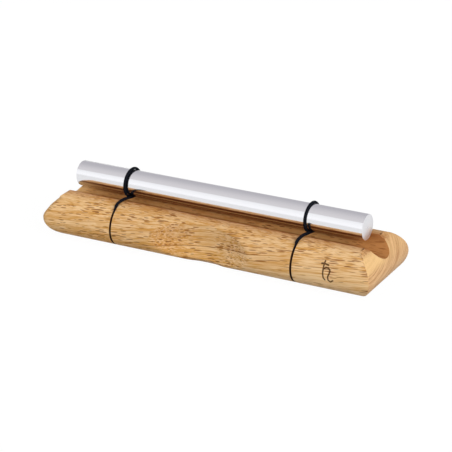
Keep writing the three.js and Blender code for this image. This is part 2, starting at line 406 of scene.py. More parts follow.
def cut(piece: bpy.types.Object, cutter: bpy.types.Object) -> None:
    """Takes a cutter's shape out of a piece and removes the cutter.

    Args:
        piece: The piece that is cut.
        cutter: A closed mesh.
    """
    take_up(piece)
    modifier = piece.modifiers.new("cut", "BOOLEAN")
    modifier.operation = "DIFFERENCE"
    modifier.solver = "MANIFOLD"
    modifier.object = cutter
    bpy.ops.object.modifier_apply(modifier=modifier.name)
    bpy.data.objects.remove(cutter)


def bar_along_x(name: str, outline: Outline, start: float, end: float) -> bpy.types.Object:
    """Makes a bar of one outline.

    Args:
        name: The piece's name.
        outline: Points in (y, z) round the outline.
        start: X of one end.
        end: X of the other end.

    Returns:
        The closed bar.
    """
    deselect_all()
    bpy.ops.mesh.primitive_circle_add(vertices=len(outline), radius=MM, fill_type="NGON")
    bar = named(name)
    for vertex, (y, z) in zip(bar.data.vertices, outline):
        vertex.co = (start, y, z)
    with editing(bar, "FACE"):
        bpy.ops.mesh.select_all(action="SELECT")
        bpy.ops.mesh.extrude_region_move(TRANSFORM_OT_translate={"value": (end - start, 0, 0)})
        turn_outward()
    return bar


def arc(centre: Point, radius: float, start: float, end: float, step: float) -> Outline:
    """Draws an arc. Angle 0 points along the first axis.

    Args:
        centre: Middle of the arc.
        radius: Its radius.
        start: Angle of its first point.
        end: Angle of its last point.
        step: Largest angle between two points.

    Returns:
        The points in order.
    """
    across, up = centre
    count = max(2, math.ceil(abs(end - start) / step))
    angles = [start + (end - start) * number / count for number in range(count + 1)]
    return [(across + radius * math.cos(angle), up + radius * math.sin(angle)) for angle in angles]


# Finishes

@dataclass(frozen=True)
class Change:
    """A smooth change of an amount while another value goes from one level to another, up or down."""

    start: float
    end: float
    first: float = 0.0
    last: float = 1.0

    def over(self, value: Wire) -> Wire:
        """Returns the amount where the other value stands."""
        return value.rise(self.start, self.end, self.first, self.last)


@dataclass(frozen=True)
class Grain:
    """Soft noise with its own number of grains per millimetre along each axis."""

    counts: tuple[float, float, float]
    detail: float = 1.0
    roughness: float = 0.5
    strength: float = 1.0

    def level(self, graph: Graph, x: Wire | float, y: Wire | float, z: Wire | float) -> Wire:
        """Looks the noise up.

        Args:
            graph: The material's graph.
            x: Place along the first axis.
            y: Place along the second axis.
            z: Place along the third axis.

        Returns:
            The noise, between 0 and 1 and about a half on the whole.
        """
        along, over, up = self.counts
        return graph.noise(graph.vector(x * along, y * over, z * up), self.detail, self.roughness)

    def drift(self, graph: Graph, x: Wire | float, y: Wire | float, z: Wire | float) -> Wire:
        """Returns the noise about zero, in the grain's strength."""
        return (self.level(graph, x, y, z) - 0.5) * self.strength


@dataclass(frozen=True)
class Flecks:
    """One layer of long thin flecks, where the surface cuts open the vessels of the wood.

    Attributes:
        length_count: Flecks in one length of the wood's run.
        fineness: Flecks per millimetre across the grain.
        shift: Moves one layer against another.
        size: Size of a fleck as a share of its cell.
        crowded_size: What a crowded place adds to the size.
        early_size: What the start of a ring adds to the size.
        edge: The soft edge of a fleck.
    """

    length_count: float
    fineness: float
    shift: float
    size: float
    crowded_size: float
    early_size: float
    edge: Change = Change(1.15, 0.8)

    def mask(self, wood: "WoodPlace") -> Wire:
        """Draws the layer.

        Args:
            wood: The place on the block and in its grain.

        Returns:
            The mask: 1 inside a fleck.
        """
        graph = wood.graph
        along = wood.run * self.length_count + self.shift
        spot = graph.vector(along, wood.y_line * self.fineness + self.shift, wood.line * self.fineness)
        away = graph.wire(
            "ShaderNodeTexVoronoi", {"feature": "F1"}, {"Vector": spot, "Scale": 1.0, "Randomness": 1.0},
        )
        size = wood.crowd * self.crowded_size + wood.early * self.early_size + self.size
        return self.edge.over(away / size)


@dataclass(frozen=True)
class BurnedSign:
    """A traditional planet sign, drawn on the front side with a hot tip. Points are (x, z) in millimetres.

    Attributes:
        stem: The upright stroke.
        bar: The stroke across it.
        hook: The curved stroke.
        stroke_edge: How the burn fades with the distance from the middle of a stroke.
        front_side: Keeps the sign off the far side.
    """

    stem: tuple[Point, ...] = (
        (66.8, 17.1), (66.55, 15.7), (66.45, 13.9), (66.4, 11.5), (66.7, 9.6), (67.5, 8.6),
    )
    bar: tuple[Point, ...] = ((65.3, 15.95), (66.6, 16.1), (68.8, 15.75))
    hook: tuple[Point, ...] = (
        (66.75, 13.8), (67.75, 14.6), (69.1, 14.5), (70.0, 13.4), (69.7, 12.1), (69.0, 10.4),
        (69.2, 8.8), (70.3, 8.0), (71.6, 8.9),
    )
    stroke_edge: Change = Change(0.54, 0.24)
    front_side: Change = Change(-15.0, -16.0)

    def depth(self, graph: Graph, x: Wire, y: Wire, z: Wire) -> Wire:
        """Tells how strongly the wood is burned at a place.

        Args:
            graph: The wood's graph.
            x: Place along the base, in millimetres.
            y: Place across the base.
            z: Height.

        Returns:
            The wire of the burn, from 0 to 1.
        """
        strokes = (self.stem, self.bar, self.hook)
        lines = [line for stroke in strokes for line in zip(stroke, stroke[1:])]
        nearest = self._distance(x, z, *lines[0])
        for line in lines[1:]:
            nearest = nearest.least(self._distance(x, z, *line))
        return self.stroke_edge.over(nearest) * self.front_side.over(y)

    @staticmethod
    def _distance(x: Wire, z: Wire, start: Point, end: Point) -> Wire:
        """Measures the way from a place to a straight line.

        Args:
            x: Place along the base, in millimetres.
            z: Height.
            start: One end of the line.
            end: The other end.

        Returns:
            The distance to the nearest point of the line.
        """
        run, climb = end[0] - start[0], end[1] - start[1]
        length_squared = run * run + climb * climb
        from_x, from_z = x - start[0], z - start[1]
        along = from_x * (run / length_squared) + from_z * (climb / length_squared)
        along = along.kept_between(0.0, 1.0)
        off_x, off_z = from_x - along * run, from_z - along * climb
        return (off_x * off_x + off_z * off_z).root()


@dataclass(frozen=True)
class Growth:
    """How the block lay in the tree: its growth rings and the flow of its grain, in millimetres.

    The rings rise toward the right and bow about a line on the player's side. The ring across the scoops is
    the strongest. Flecks are counted along the grain, and grow longer toward the right.
    """

    ring_spacing: float = 3.5
    ring_height: float = 9.87
    ring_slope: float = 0.117
    ring_bow_centre: float = -19.0
    ring_bow_radius: float = 34.5
    ring_wander: Grain = Grain((0.03, 0.09, 0.09))
    ring_unevenness: Grain = Grain((0.0, 0.0, 0.7), detail=0.0, strength=0.3)
    ring_start: Change = Change(0.45, 0.02)
    main_ring_height: float = 10.87
    main_ring_width: Change = Change(2.0, 1.2)
    other_rings_share: float = 0.2
    scoop_length: Change = Change(38.0, 28.0)
    scoop_side: Change = Change(11.0, 13.0)
    fleck_count: float = 0.11
    fleck_stretch: float = 0.0002
    ripple: Grain = Grain((0.15, 0.25, 0.25), strength=0.9)
    ripple_fade: Change = Change(60.0, -60.0)
    ripple_across_share: float = 0.8
    crowding: Grain = Grain((0.04, 0.2, 0.28))
    crowding_edge: Change = Change(0.3, 0.7)


class WoodPlace:
    """A place on the block and where it lies in the tree that the block was cut from.

    Attributes:
        graph: The wood's graph.
        x: Place along the block, in millimetres.
        y: Place across it.
        z: Height.
        facing_x: How far the surface faces along the block.
        facing_z: How far it faces up.
        across: Place across the growth rings, in millimetres.
        climb: Share of the way through a ring.
        main_ring: Mask of the strong ring across the scoops.
        early: Mask of the open wood at the start of a ring.
        crowd: Mask of the places where vessels crowd.
        run: Place along the grain, in fleck lengths.
        y_line: Place across the block, measured from the rippling grain.
        line: Place across the rings, measured from the rippling grain.
    """

    def __init__(self, graph: Graph, growth: Growth) -> None:
        """Works out the place, the way its face is turned, its growth ring and the flow of the grain.

        Args:
            graph: The wood's graph.
            growth: How the block lay in the tree.
        """
        self.graph = graph
        x, y, z = graph.millimetres()
        self.x, self.y, self.z = x, y, z
        self.facing_x, _, self.facing_z = graph.split(graph.wire("ShaderNodeNewGeometry", output="Normal"))

        bow = (y - growth.ring_bow_centre) * (y - growth.ring_bow_centre) / (2 * growth.ring_bow_radius)
        level = z - x * growth.ring_slope - bow
        self.across = level + growth.ring_wander.drift(graph, x, y, level)
        ring = (self.across - growth.ring_height) / growth.ring_spacing
        self.climb = (ring + growth.ring_unevenness.drift(graph, 0.0, 0.0, ring)).fraction()

        in_scoop = growth.scoop_length.over(abs(x)) * growth.scoop_side.over(abs(y))
        self.main_ring = growth.main_ring_width.over(abs(self.across - growth.main_ring_height)) * in_scoop
        others = growth.other_rings_share
        self.early = growth.ring_start.over(self.climb) * (self.main_ring * (1 - others) + others)
        self.crowd = growth.crowding_edge.over(growth.crowding.level(graph, x, y, self.across))

        ripple = growth.ripple.drift(graph, x, y, self.across) * growth.ripple_fade.over(x)
        self.run = x * growth.fleck_count - x * x * growth.fleck_stretch
        self.y_line = y + ripple
        self.line = self.across + ripple * growth.ripple_across_share


@dataclass(frozen=True)
class HardwoodFinish:
    """Oiled light hardwood with slanting growth rings, dark pores and a slightly darker end grain.

    Places are in millimetres. A share or an amount says how much of a colour is laid on.
    """

    kerf_place: float
    pale: Colour = shade(236, 200, 151)
    golden: Colour = shade(208, 153, 79)
    # Painted highlight for the end bevels that face up
    lit_facet: Colour = shade(243, 203, 142)
    # Deep wood tone for the slanting faces, also used as painted shade beside the groove's lip
    deep: Colour = shade(178, 116, 58)
    # Painted light in the groove: a pale colour that lifts its wood
    groove_light: Colour = shade(246, 209, 150)
    # Painted shade: a warm tint for the groove
    groove_shade_tint: Colour = shade(255, 230, 200)
    # Painted shade and shadow, for the groove and the upper sides
    painted_shade: Colour = shade(150, 114, 88)
    vessel: Colour = shade(150, 96, 48)
    pore: Colour = shade(120, 72, 38)
    end_light: Colour = shade(223, 181, 134)
    end_dark: Colour = shade(184, 134, 86)
    # Scorch of the burned sign, also used as painted shade in the kerfs
    scorch_and_kerf_shade: Colour = shade(66, 34, 14)
    growth: Growth = Growth()
    sign: BurnedSign = BurnedSign()

    # Light and dark of the long grain
    middle_tone: float = 0.52
    right_end_tone: Change = Change(48.0, 58.0, 0.0, 0.16)
    low_side: Change = Change(12.0, 4.0)
    low_side_tone: Change = Change(0.0, 50.0, -0.35, 0.15)
    ring_close: Change = Change(1.0, 0.95)
    ring_contrast: float = 0.45
    clouds: Grain = Grain((0.035, 0.12, 0.18), detail=2.0, strength=1.1)
    streaks: Grain = Grain((0.45, 1.6, 1.6), detail=2.0, roughness=0.6)
    streak_edge: Change = Change(0.36, 0.64)
    streak_contrast: float = 0.75
    fibres: Grain = Grain((1.0, 2.5, 2.5), detail=2.0, roughness=0.7)
    fibre_contrast: float = 2.2

    # Cut vessels, pores and threads
    vessels: Flecks = Flecks(
        length_count=1.0, fineness=1.12, shift=0.0, size=0.17, crowded_size=0.17, early_size=0.08,
    )
    vessel_share: float = 0.9
    pores: Flecks = Flecks(
        length_count=0.9, fineness=0.85, shift=31.7, size=0.07, crowded_size=0.14, early_size=0.14,
    )
    pore_share: float = 0.8
    threads: Flecks = Flecks(
        length_count=0.35, fineness=1.3, shift=57.3, size=0.15, crowded_size=0.14, early_size=0.0,
    )
    threads_right: Change = Change(0.0, 25.0)
    threads_height: Change = Change(7.0, 12.0)
    thread_share: Change = Change(48.0, 56.0, 0.95, 0.6)
    groove_loss: float = 0.5
    ring_line: Change = Change(0.12, 0.03)
    ring_line_share: float = 0.08
    main_ring_line_gain: float = 0.7

    # Faces that cut across the grain
    cross_cut: Change = Change(0.35, 0.8)
    cross_cut_share: float = 0.85
    slant: Change = Change(0.06, 0.3)
    slant_amount: float = 0.04
    slant_early_amount: float = 0.3
    slant_right_amount: Change = Change(-0.1, 0.1, 0.0, 0.1)
    end_lines: Grain = Grain((0.05, 0.0, 1.0), detail=3.0, roughness=0.75)
    end_line_edge: Change = Change(0.38, 0.58)
    # Painted highlight: end bevels that face up are painted lighter, most on the player's side
    lit_facet_up: Change = Change(0.3, 0.6)
    lit_facet_share: Change = Change(4.0, -6.0, 0.25, 0.8)

    # The groove, and the painted light and shade in it, beside its lip and on the upper sides
    groove_side: Change = Change(10.2, 8.2)
    groove_floor: Change = Change(11.0, 14.0)
    groove_rim: Change = Change(22.5, 21.8)
    # Painted light in the groove, stronger on one side of a growth ring
    groove_light_share: Change = Change(6.3, 5.9, 0.45, 0.75)
    # Painted shade on the top beside the groove's lip
    lip_shade_height: Change = Change(18.5, 22.0)
    lip_shade_width: Change = Change(17.0, 9.0)
    lip_shade_amount: float = 0.42
    # Painted shade on the upper sides, most toward the middle
    upper_shade_height: Change = Change(8.0, 15.0)
    upper_shade_amount: Change = Change(52.0, 44.0, 0.13, 0.2)
    # Painted shade in the groove, weaker toward its left mouth, which is painted lighter
    groove_shade_amount: Change = Change(-92.0, -64.0, 0.2, 1.0)
    # Painted shadow on the groove's walls under the rod and on its floor, more toward the right end; one
    # growth ring in the groove is a little darker
    groove_wall_shadow: Change = Change(5.5, 6.7, 0.0, 0.9)
    groove_floor_shadow: Change = Change(4.6, 3.4, 0.0, 0.9)
    shadow_fade: Change = Change(80.0, 60.0)
    ring_dusk: Change = Change(5.9, 6.3, 0.0, 0.08)
    right_end_shadow: Change = Change(50.0, 82.0, 0.0, 0.75)
    most_shadow: float = 0.95

    # Painted shade in the saw kerfs and along the foot, and the burned sign
    kerf_half_width: Change = Change(0.62, 0.52)
    kerf_from: Change = Change(10.4, 11.0)
    kerf_below: Change = Change(21.7, 21.0)
    # Painted shade inside the kerfs
    kerf_shade_amount: float = 0.95
    # Painted contact shade along the foot
    foot_shade_amount: Change = Change(1.6, 0.3, 0.0, 0.45)
    sign_share: float = 0.89

    # Sheen and relief
    roughness: float = 0.52
    vessel_roughness: float = 0.15
    burn_roughness: float = 0.25
    gloss: float = 0.12
    fibre_relief: float = 0.2
    vessel_relief: float = 0.5
    burn_relief: float = 1.6
    relief_depth: float = 0.06 * MM

    def material(self) -> bpy.types.Material:
        """Makes the wood.

        Returns:
            The wood's material.
        """
        material, graph = new_material("oiled_hardwood")
        wood = WoodPlace(graph, self.growth)
        fibres = self.fibres.level(graph, wood.run, wood.y_line, wood.line)
        vessels = self.vessels.mask(wood)
        across_grain = self.cross_cut.over(abs(wood.facing_x + wood.facing_z * self.growth.ring_slope))
        burn = self.sign.depth(graph, wood.x, wood.y, wood.z)

        colour = self._long_grain(wood, fibres, vessels)
        colour = self._end_grain(wood, across_grain, colour)
        colour = self._paint_light_and_shade(wood, across_grain, colour)
        colour = self._shade_kerfs_and_foot(wood, colour)
        graph.finish_with({
            "Base Color": graph.mix(burn * self.sign_share, colour, self.scorch_and_kerf_shade),
            "Roughness": self.roughness + vessels * self.vessel_roughness + burn * self.burn_roughness,
            "Specular IOR Level": self.gloss,
            "Normal": graph.bump(
                fibres * self.fibre_relief - vessels * self.vessel_relief - burn * self.burn_relief,
                self.relief_depth,
            ),
        })
        return material

    def _groove(self, wood: WoodPlace) -> Wire:
        """Returns the mask of the groove."""
        return self.groove_side.over(abs(wood.y)) * self.groove_floor.over(wood.z)

    def _long_grain(self, wood: WoodPlace, fibres: Wire, vessels: Wire) -> Wire:
        """Colours the wood along its grain: rings, clouds, streaks, fibres and three layers of flecks, with
        painted light in the groove.

        Args:
            wood: The place on the block.
            fibres: The noise of the fibres.
            vessels: The mask of the cut vessels.

        Returns:
            The colour.
        """
        graph, x, z = wood.graph, wood.x, wood.z
        tone = wood.climb * self.ring_close.over(wood.climb)
        streaks = self.streak_edge.over(self.streaks.level(graph, wood.run, wood.y_line, wood.line))
        lightness = self.middle_tone + self.right_end_tone.over(x)
        lightness = lightness + self.low_side.over(z) * self.low_side_tone.over(x)
        lightness = lightness + self.clouds.drift(graph, x, wood.y, wood.across)
        lightness = lightness + (tone - 0.5) * self.ring_contrast
        lightness = lightness + (streaks - 0.5) * self.streak_contrast
        lightness = lightness + (fibres - 0.5) * self.fibre_contrast
        colour = graph.mix(lightness.kept_between(0.0, 1.0), self.golden, self.pale)

        groove = self._groove(wood) * self.groove_rim.over(z)
        # Painted light: the groove's wood is lifted toward a pale colour, more on one side of a growth ring
        colour = graph.mix(groove * self.groove_light_share.over(wood.across), colour, self.groove_light)
        colour = graph.mix(vessels * (self.vessel_share - groove * self.groove_loss), colour, self.vessel)
        pores = self.pores.mask(wood) * (self.pore_share - groove * self.groove_loss)
        colour = graph.mix(pores, colour, self.pore)
        ring_share = wood.main_ring * self.main_ring_line_gain + self.ring_line_share
        colour = graph.mix(self.ring_line.over(wood.climb) * ring_share, colour, self.vessel)
        thread_place = self.threads_right.over(x) * self.threads_height.over(z) * self.thread_share.over(x)
        return graph.mix(self.threads.mask(wood) * thread_place, colour, self.vessel)

    def _end_grain(self, wood: WoodPlace, across_grain: Wire, colour: Wire) -> Wire:
        """Darkens the slanting faces, draws the rings of the end grain and paints a highlight on the end
        bevels that face up.

        Args:
            wood: The place on the block.
            across_grain: The mask of the faces cut across the grain.
            colour: The colour so far.

        Returns:
            The colour.
        """
        graph = wood.graph
        slanting = self.slant.over(abs(wood.facing_x)) * (1.0 - across_grain)
        amount = wood.early * self.slant_early_amount + self.slant_right_amount.over(wood.facing_x)
        colour = graph.mix(slanting * (amount + self.slant_amount), colour, self.deep, mode="MULTIPLY")
        lines = self.end_line_edge.over(self.end_lines.level(graph, wood.y, 0.0, wood.across))
        end_tone = graph.mix(lines, self.end_dark, self.end_light)
        # Painted highlight on the end bevels that face up, most on the player's side
        lit_facet = self.lit_facet_up.over(wood.facing_z) * self.lit_facet_share.over(wood.y)
        end_tone = graph.mix(lit_facet, end_tone, self.lit_facet)
        return graph.mix(across_grain * self.cross_cut_share, colour, end_tone)

    def _paint_light_and_shade(self, wood: WoodPlace, across_grain: Wire, colour: Wire) -> Wire:
        """Paints shade on the upper sides and beside the groove's lip, and paints light and shade in the
        groove.

        Args:
            wood: The place on the block.
            across_grain: The mask of the faces cut across the grain.
            colour: The colour so far.

        Returns:
            The colour.
        """
        graph, x, wide, z = wood.graph, wood.x, abs(wood.y), wood.z
        inside = self._groove(wood) * (1.0 - across_grain)
        # Painted shade: the upper sides outside the groove are darkened, most toward the middle
        upper = self.upper_shade_height.over(z) * self.upper_shade_amount.over(abs(x))
        colour = graph.mix((1.0 - inside) * upper, colour, self.painted_shade, mode="MULTIPLY")
        # Painted shade: the top beside the groove's lip is darkened
        lip_shade = self.lip_shade_height.over(z) * self.lip_shade_width.over(wide) * self.lip_shade_amount
        colour = graph.mix(lip_shade, colour, self.deep, mode="MULTIPLY")
        # Painted shade: the groove gets a warm, darker tint, less toward its left mouth, which is painted
        # lighter
        sunk = inside * self.groove_shade_amount.over(x)
        colour = graph.mix(sunk, colour, self.groove_shade_tint, mode="MULTIPLY")
        # Painted shadow: the groove's walls under the rod and its floor are darkened, more toward the right
        # end; one growth ring is a little darker too
        painted_shade = self.groove_wall_shadow.over(wide).most(self.groove_floor_shadow.over(wide)) * self.shadow_fade.over(x)
        painted_shade = (painted_shade + self.ring_dusk.over(wood.across) + self.right_end_shadow.over(x)).least(self.most_shadow)
        return graph.mix(sunk * painted_shade, colour, self.painted_shade, mode="MULTIPLY")

    def _shade_kerfs_and_foot(self, wood: WoodPlace, colour: Wire) -> Wire:
        """Paints shade inside the kerfs and along the foot of the block.

        Args:
            wood: The place on the block.
            colour: The colour so far.

        Returns:
            The colour.
        """
        graph, z = wood.graph, wood.z
        # Painted shade inside the kerfs, in the scorch colour
        kerf = self.kerf_half_width.over(abs(abs(wood.x) - self.kerf_place))
        kerf = kerf * self.kerf_from.over(abs(wood.y)) * self.kerf_below.over(z)
        colour = graph.mix(kerf * self.kerf_shade_amount, colour, self.scorch_and_kerf_shade, mode="MULTIPLY")
        # Painted contact shade along the foot of the block, in the pore colour
        return graph.mix(self.foot_shade_amount.over(z), colour, self.pore, mode="MULTIPLY")


@dataclass(frozen=True)
class TurnedAluminiumFinish:
    """Bright aluminium with the fine rings that a lathe tool leaves."""

    metal: Colour = shade(243, 243, 246)
    roughness: float = 0.13
    faced_roughness: float = 0.3
    faced_end: Change = Change(0.8, 0.98)
    feed_marks: Grain = Grain((6.25, 0.0, 0.0))
    feed_mark_relief: float = 0.4
    chatter: Grain = Grain((0.55, 0.3, 0.3))
    chatter_relief: float = 8.0
    relief_depth: float = 0.0012 * MM
    handling: Grain = Grain((0.09, 0.25, 0.25), detail=3.0, strength=0.06)

    def material(self) -> bpy.types.Material:
        """Makes the metal.

        Returns:
            The rod's material.
        """
        material, graph = new_material("turned_aluminium")
        place = graph.millimetres()
        facing_x, _, _ = graph.split(graph.wire("ShaderNodeNewGeometry", output="Normal"))
        faced = self.faced_end.over(abs(facing_x)) * self.faced_roughness
        feed_marks = self.feed_marks.level(graph, *place) * self.feed_mark_relief
        chatter = self.chatter.level(graph, *place) * self.chatter_relief
        graph.finish_with({
            "Base Color": self.metal,
            "Metallic": 1.0,
            "Roughness": self.roughness + self.handling.drift(graph, *place) + faced,
            "Normal": graph.bump(feed_marks + chatter, self.relief_depth),
        })
        return material


@dataclass(frozen=True)
class BraidedElasticFinish:
    """Round elastic in a tight textile braid. The UV map runs along the cord and round it, in metres."""

    thread: Colour = shade(13, 17, 26)
    # Painted shade in the valleys between the strands
    braid_valley_shade: Colour = shade(2, 3, 5)
    pitch: float = 1.5 * MM
    strands: int = 6
    girth: float = 4.7 * MM
    strand_edge: Change = Change(0.5, 0.95)
    roughness: float = 0.75
    gloss: float = 0.08
    relief_depth: float = 0.13 * MM

    def material(self) -> bpy.types.Material:
        """Makes the braid.

        Returns:
            The cords' material.
        """
        material, graph = new_material("braided_elastic")
        run, turn, _ = graph.split(graph.wire("ShaderNodeUVMap", {"uv_map": ElasticCord.uv_name}))
        lengthways = run * (1 / self.pitch)
        round_about = turn * (self.strands / self.girth)
        first = abs(((lengthways + round_about) * math.pi).sine())
        second = abs(((lengthways - round_about) * math.pi).sine())
        ridge = first.most(second)
        graph.finish_with({
            "Base Color": graph.mix(self.strand_edge.over(ridge), self.braid_valley_shade, self.thread),
            "Roughness": self.roughness,
            "Specular IOR Level": self.gloss,
            "Normal": graph.bump(ridge, self.relief_depth),
        })
        return material


# Pieces

@dataclass(frozen=True)
class BaseBlock:
    """The hardwood base: mitred round sides and ends, a groove, finger scoops and two saw kerfs."""

    length: float = 180 * MM
    width: float = 45.2 * MM
    height: float = 22 * MM
    side_ridge_height: float = 10 * MM
    side_undercut: float = 11.5 * MM
    end_ridge_height: float = 10.3 * MM
    end_upper_radius: float = 10 * MM
    end_corner_drop: float = 1.6 * MM
    end_chamfer_length: float = 3.5 * MM
    end_bevel_angle: float = math.radians(45)
    groove_radius: float = 8.2 * MM
    groove_depth: float = 7 * MM
    groove_lip_radius: float = 1.5 * MM
    top_land_width: float = 1.28 * MM
    scoop_radius: float = 62.8 * MM
    scoop_top_depth: float = 7.1 * MM
    scoop_lean: float = math.radians(6)
    scoop_edge: float = 0.9 * MM
    kerf_spacing: float = 99.2 * MM
    kerf_width: float = 1 * MM
    kerf_depth: float = 2.05 * MM
    kerf_run_out_rise: float = 0.3 * MM
    kerf_run_out_angle: float = math.radians(18)
    kerf_full_angle: float = math.radians(50)
    pocket_diameter: float = 8.8 * MM
    pocket_depth: float = 4.4 * MM
    scoop_foot_cut: float = 4.4 * MM
    scoop_foot_height: float = 3.2 * MM
    scoop_foot_x: float = 0.5 * MM
    scoop_foot_reach: Span = (4 * MM, 17 * MM)
    scoop_zone_share: float = 0.22
    eased_edge: float = 0.5 * MM
    eased_edge_steps: int = 3
    eased_corner: float = 2.6 * MM
    eased_corner_steps: int = 6
    mitre_reach: float = 5 * MM
    groove_clearance: float = 1 * MM
    mouth_sanding: float = 2.5 * MM
    end_sanding: float = 1.2 * MM
    sanding_start_share: float = 0.35
    sanding_full_share: float = 0.445
    sanded_floor: Span = (-8 * MM, -3 * MM)
    sanded_rear_drop: Span = (3 * MM, 6 * MM)
    sanded_end_drop: Span = (0.5 * MM, 2 * MM)
    unsanded_end_drop: Span = (6.5 * MM, 11 * MM)
    arc_step: float = math.radians(3)
    least_level_step: float = 0.09 * MM
    columns: int = 159
    kerf_steps: int = 60
    drill_sides: int = 64
    crease_angle: float = math.radians(28)
    weld_distance: float = 1e-7
    overrun: float = 2 * MM

    @property
    def lip_centre(self) -> Point:
        """Middle of the round lip of the groove, in (y, z)."""
        rise, reach = self.height - self.groove_lip_radius, self.groove_radius + self.groove_lip_radius
        return math.sqrt(reach ** 2 - (self.groove_centre_height - rise) ** 2), rise

    @property
    def groove_centre_height(self) -> float:
        """Height of the axis of the groove."""
        return self.height - self.groove_depth + self.groove_radius

    @property
    def side_top_width(self) -> float:
        """Half the width at which the curved side meets the top."""
        return self.lip_centre[0] + self.top_land_width

    @property
    def side_foot_width(self) -> float:
        """Half the width at which the curved side meets the underside."""
        return self.width / 2 - self.side_undercut

    def side_reach(self, angle: float) -> Point:
        """Tells the half axes of the side's curve.

        Args:
            angle: 0 where the side faces down, pi where it faces up.

        Returns:
            The half axes as (across, up).
        """
        if angle < math.pi / 2:
            return self.side_undercut, self.side_ridge_height
        return self.width / 2 - self.side_top_width, self.height - self.side_ridge_height

    def side_normal(self, angle: float) -> Point:
        """Tells which way the side faces.

        Args:
            angle: 0 where the side faces down, pi where it faces up.

        Returns:
            The outward normal as (width, height).
        """
        reach, drop = self.side_reach(angle)
        out, up = math.sin(angle) * drop, -math.cos(angle) * reach
        size = math.hypot(out, up)
        return out / size, up / size

    def side_point(self, angle: float, offset: float = 0.0) -> Point:
        """Returns a point of the side.

        Args:
            angle: 0 where the side faces down, pi where it faces up.
            offset: How far the point is moved out along the normal.

        Returns:
            The point as (width, height).
        """
        reach, drop = self.side_reach(angle)
        out, up = self.side_normal(angle)
        return (
            self.width / 2 - reach + reach * math.sin(angle) + offset * out,
            self.side_ridge_height - drop * math.cos(angle) + offset * up,
        )

    def half_width(self, height: float) -> float:
        """Measures half the width of the block without its scoops.

        Args:
            height: Height over the table.

        Returns:
            The distance from the middle to the side.
        """
        reach, drop = self.side_reach(0.0 if height < self.side_ridge_height else math.pi)
        share = (height - self.side_ridge_height) / drop
        return self.width / 2 - reach + reach * math.sqrt(max(0.0, 1 - share * share))

    @property
    def corner_height(self) -> float:
        """Height of the ridge at the top of each end."""
        return self.height - self.end_corner_drop

    @property
    def bevel_start(self) -> Point:
        """Where the upper curve of an end passes into its straight bevel.

        Returns:
            The place as (x, z).
        """
        out, up = math.cos(self.end_bevel_angle), math.sin(self.end_bevel_angle)
        radius = self.end_upper_radius
        return self.length / 2 - radius + radius * out, self.end_ridge_height + radius * up

    def half_length(self, height: float) -> float:
        """Measures half the length of the block.

        Args:
            height: Height over the table.

        Returns:
            The distance from the middle to the end.
        """
        start_x, start_height = self.bevel_start
        if height > self.corner_height:
            corner_x = start_x - (self.corner_height - start_height) * math.tan(self.end_bevel_angle)
            return corner_x - self.end_chamfer_length * (height - self.corner_height) / self.end_corner_drop
        if height > start_height:
            return start_x - (height - start_height) * math.tan(self.end_bevel_angle)
        radius = self.end_ridge_height if height <= self.end_ridge_height else self.end_upper_radius
        rise = height - self.end_ridge_height
        return self.length / 2 - radius + math.sqrt(max(0.0, radius ** 2 - rise ** 2))

    def levels(self) -> list[float]:
        """Chooses the heights at which the block is drawn.

        Returns:
            The heights, from the foot to the top.
        """
        between = [self.end_ridge_height, self.bevel_start[1], self.corner_height]
        steps = round(math.pi / self.arc_step)
        heights = [self.side_point(self.arc_step * number)[1] for number in range(1, steps)]
        clear = [
            height for height in heights
            if all(abs(height - corner) > self.least_level_step for corner in between)
        ]
        return sorted([0.0, *between, *clear, self.height])

    def scoop_width(self, x: float, height: float) -> float:
        """Measures how far from the middle the wall of the leaning scoop lies.

        Args:
            x: Place along the block.
            height: Height over the table.

        Returns:
            The distance across, or the block's whole width where there is no scoop.
        """
        if abs(x) >= self.scoop_radius:
            return self.width
        sag = self.scoop_radius - math.sqrt(self.scoop_radius ** 2 - x ** 2)
        top = self.width / 2 - self.scoop_top_depth
        wall = top + sag / math.cos(self.scoop_lean) + math.tan(self.scoop_lean) * (self.height - height)
        deep = 1 - smooth_step(abs(x - self.scoop_foot_x), *self.scoop_foot_reach)
        return wall - self.scoop_foot_cut * deep * max(0.0, 1 - height / self.scoop_foot_height)

    def build(self) -> bpy.types.Object:
        """Makes the block.

        Returns:
            The finished block.
        """
        block = self._blank()
        self._ease_mitres(block)
        self._draw_columns(block)
        self._scoop(block)
        cut(block, self._groove_cutter())
        self._sand_left_mouth(block)
        for side in Side:
            x = side.value * self.kerf_spacing / 2
            start, end = x - self.kerf_width / 2, x + self.kerf_width / 2
            cut(block, bar_along_x("kerf_cutter", self._kerf_outline(), start, end))
            cut(block, self._pocket_cutter(x))
        with editing(block):
            weld(self.weld_distance)
        smooth(block, self.crease_angle)
        return block

    def _blank(self) -> bpy.types.Object:
        """Stacks the block from its foot to its top, with each level in its own size.

        Returns:
            The block before anything is cut into it.
        """
        deselect_all()
        bpy.ops.mesh.primitive_plane_add(size=1)
        block = named("base_wood")
        levels = self.levels()
        sizes = [(2 * self.half_length(height), 2 * self.half_width(height)) for height in levels]
        block.scale = (*sizes[0], 1)
        settle(block)
        with editing(block, "FACE"):
            bpy.ops.mesh.select_all(action="SELECT")
            for below, height, old, new in zip(levels, levels[1:], sizes, sizes[1:]):
                bpy.ops.mesh.extrude_region_move(TRANSFORM_OT_translate={"value": (0, 0, height - below)})
                bpy.ops.transform.resize(
                    value=(new[0] / old[0], new[1] / old[1], 1), center_override=(0, 0, height),
                )
            turn_outward()
        return block

